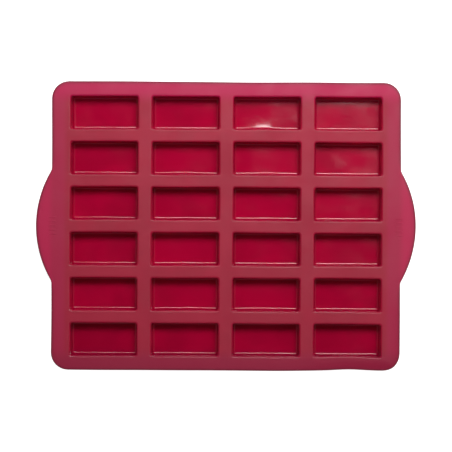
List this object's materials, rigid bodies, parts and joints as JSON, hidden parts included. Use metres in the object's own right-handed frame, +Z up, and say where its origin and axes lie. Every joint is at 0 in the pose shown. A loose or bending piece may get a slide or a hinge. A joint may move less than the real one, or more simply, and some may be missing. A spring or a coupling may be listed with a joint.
{
  "type": "silicone bar mould",
  "caption": "Flat red silicone mould tray with rows of rectangular bar cavities, rounded corners and a curved grip at each end.",
  "frame": {"origin": "centre of the base, on the surface that the cup undersides stand on", "axes": "+X from the left grip to the right grip, +Y to the back row of cavities, +Z up out of the cavity mouths"},
  "size_m": [0.3294, 0.2506, 0.0215],
  "materials": {
    "deck_silicone": "satin red silicone, semi-matt",
    "cup_silicone": "glossy red silicone, smooth inside",
    "grip_silicone": "satin red silicone, thin and slightly translucent"
  },
  "bodies": {
    "tray": {"deck": "deck_silicone"},
    "cup_r1_c1": {"cup_r1_c1": "cup_silicone"},
    "cup_r1_c2": {"cup_r1_c2": "cup_silicone"},
    "cup_r1_c3": {"cup_r1_c3": "cup_silicone"},
    "cup_r1_c4": {"cup_r1_c4": "cup_silicone"},
    "cup_r2_c1": {"cup_r2_c1": "cup_silicone"},
    "cup_r2_c2": {"cup_r2_c2": "cup_silicone"},
    "cup_r2_c3": {"cup_r2_c3": "cup_silicone"},
    "cup_r2_c4": {"cup_r2_c4": "cup_silicone"},
    "cup_r3_c1": {"cup_r3_c1": "cup_silicone"},
    "cup_r3_c2": {"cup_r3_c2": "cup_silicone"},
    "cup_r3_c3": {"cup_r3_c3": "cup_silicone"},
    "cup_r3_c4": {"cup_r3_c4": "cup_silicone"},
    "cup_r4_c1": {"cup_r4_c1": "cup_silicone"},
    "cup_r4_c2": {"cup_r4_c2": "cup_silicone"},
    "cup_r4_c3": {"cup_r4_c3": "cup_silicone"},
    "cup_r4_c4": {"cup_r4_c4": "cup_silicone"},
    "cup_r5_c1": {"cup_r5_c1": "cup_silicone"},
    "cup_r5_c2": {"cup_r5_c2": "cup_silicone"},
    "cup_r5_c3": {"cup_r5_c3": "cup_silicone"},
    "cup_r5_c4": {"cup_r5_c4": "cup_silicone"},
    "cup_r6_c1": {"cup_r6_c1": "cup_silicone"},
    "cup_r6_c2": {"cup_r6_c2": "cup_silicone"},
    "cup_r6_c3": {"cup_r6_c3": "cup_silicone"},
    "cup_r6_c4": {"cup_r6_c4": "cup_silicone"},
    "left_grip": {"left_grip": "grip_silicone"},
    "right_grip": {"right_grip": "grip_silicone"}
  },
  "joints": [
    {"name": "push_out_r1_c1", "type": "slide", "parent": "tray", "child": "cup_r1_c1", "axis": [0, 0, 1], "range_m": [0, 0.01], "stiffness_N_per_m": 250, "springref_m": -0.002},
    {"name": "push_out_r1_c2", "type": "slide", "parent": "tray", "child": "cup_r1_c2", "axis": [0, 0, 1], "range_m": [0, 0.01], "stiffness_N_per_m": 250, "springref_m": -0.002},
    {"name": "push_out_r1_c3", "type": "slide", "parent": "tray", "child": "cup_r1_c3", "axis": [0, 0, 1], "range_m": [0, 0.01], "stiffness_N_per_m": 250, "springref_m": -0.002},
    {"name": "push_out_r1_c4", "type": "slide", "parent": "tray", "child": "cup_r1_c4", "axis": [0, 0, 1], "range_m": [0, 0.01], "stiffness_N_per_m": 250, "springref_m": -0.002},
    {"name": "push_out_r2_c1", "type": "slide", "parent": "tray", "child": "cup_r2_c1", "axis": [0, 0, 1], "range_m": [0, 0.01], "stiffness_N_per_m": 250, "springref_m": -0.002},
    {"name": "push_out_r2_c2", "type": "slide", "parent": "tray", "child": "cup_r2_c2", "axis": [0, 0, 1], "range_m": [0, 0.01], "stiffness_N_per_m": 250, "springref_m": -0.002},
    {"name": "push_out_r2_c3", "type": "slide", "parent": "tray", "child": "cup_r2_c3", "axis": [0, 0, 1], "range_m": [0, 0.01], "stiffness_N_per_m": 250, "springref_m": -0.002},
    {"name": "push_out_r2_c4", "type": "slide", "parent": "tray", "child": "cup_r2_c4", "axis": [0, 0, 1], "range_m": [0, 0.01], "stiffness_N_per_m": 250, "springref_m": -0.002},
    {"name": "push_out_r3_c1", "type": "slide", "parent": "tray", "child": "cup_r3_c1", "axis": [0, 0, 1], "range_m": [0, 0.01], "stiffness_N_per_m": 250, "springref_m": -0.002},
    {"name": "push_out_r3_c2", "type": "slide", "parent": "tray", "child": "cup_r3_c2", "axis": [0, 0, 1], "range_m": [0, 0.01], "stiffness_N_per_m": 250, "springref_m": -0.002},
    {"name": "push_out_r3_c3", "type": "slide", "parent": "tray", "child": "cup_r3_c3", "axis": [0, 0, 1], "range_m": [0, 0.01], "stiffness_N_per_m": 250, "springref_m": -0.002},
    {"name": "push_out_r3_c4", "type": "slide", "parent": "tray", "child": "cup_r3_c4", "axis": [0, 0, 1], "range_m": [0, 0.01], "stiffness_N_per_m": 250, "springref_m": -0.002},
    {"name": "push_out_r4_c1", "type": "slide", "parent": "tray", "child": "cup_r4_c1", "axis": [0, 0, 1], "range_m": [0, 0.01], "stiffness_N_per_m": 250, "springref_m": -0.002},
    {"name": "push_out_r4_c2", "type": "slide", "parent": "tray", "child": "cup_r4_c2", "axis": [0, 0, 1], "range_m": [0, 0.01], "stiffness_N_per_m": 250, "springref_m": -0.002},
    {"name": "push_out_r4_c3", "type": "slide", "parent": "tray", "child": "cup_r4_c3", "axis": [0, 0, 1], "range_m": [0, 0.01], "stiffness_N_per_m": 250, "springref_m": -0.002},
    {"name": "push_out_r4_c4", "type": "slide", "parent": "tray", "child": "cup_r4_c4", "axis": [0, 0, 1], "range_m": [0, 0.01], "stiffness_N_per_m": 250, "springref_m": -0.002},
    {"name": "push_out_r5_c1", "type": "slide", "parent": "tray", "child": "cup_r5_c1", "axis": [0, 0, 1], "range_m": [0, 0.01], "stiffness_N_per_m": 250, "springref_m": -0.002},
    {"name": "push_out_r5_c2", "type": "slide", "parent": "tray", "child": "cup_r5_c2", "axis": [0, 0, 1], "range_m": [0, 0.01], "stiffness_N_per_m": 250, "springref_m": -0.002},
    {"name": "push_out_r5_c3", "type": "slide", "parent": "tray", "child": "cup_r5_c3", "axis": [0, 0, 1], "range_m": [0, 0.01], "stiffness_N_per_m": 250, "springref_m": -0.002},
    {"name": "push_out_r5_c4", "type": "slide", "parent": "tray", "child": "cup_r5_c4", "axis": [0, 0, 1], "range_m": [0, 0.01], "stiffness_N_per_m": 250, "springref_m": -0.002},
    {"name": "push_out_r6_c1", "type": "slide", "parent": "tray", "child": "cup_r6_c1", "axis": [0, 0, 1], "range_m": [0, 0.01], "stiffness_N_per_m": 250, "springref_m": -0.002},
    {"name": "push_out_r6_c2", "type": "slide", "parent": "tray", "child": "cup_r6_c2", "axis": [0, 0, 1], "range_m": [0, 0.01], "stiffness_N_per_m": 250, "springref_m": -0.002},
    {"name": "push_out_r6_c3", "type": "slide", "parent": "tray", "child": "cup_r6_c3", "axis": [0, 0, 1], "range_m": [0, 0.01], "stiffness_N_per_m": 250, "springref_m": -0.002},
    {"name": "push_out_r6_c4", "type": "slide", "parent": "tray", "child": "cup_r6_c4", "axis": [0, 0, 1], "range_m": [0, 0.01], "stiffness_N_per_m": 250, "springref_m": -0.002},
    {"name": "left_grip_bend", "type": "hinge", "parent": "tray", "child": "left_grip", "pos_m": [-0.15305, 0, 0.02025], "axis": [0, 1, 0], "range_deg": [-60, 60], "stiffness_Nm_per_rad": 0.1},
    {"name": "right_grip_bend", "type": "hinge", "parent": "tray", "child": "right_grip", "pos_m": [0.15305, 0, 0.02025], "axis": [0, -1, 0], "range_deg": [-60, 60], "stiffness_Nm_per_rad": 0.1}
  ]
}
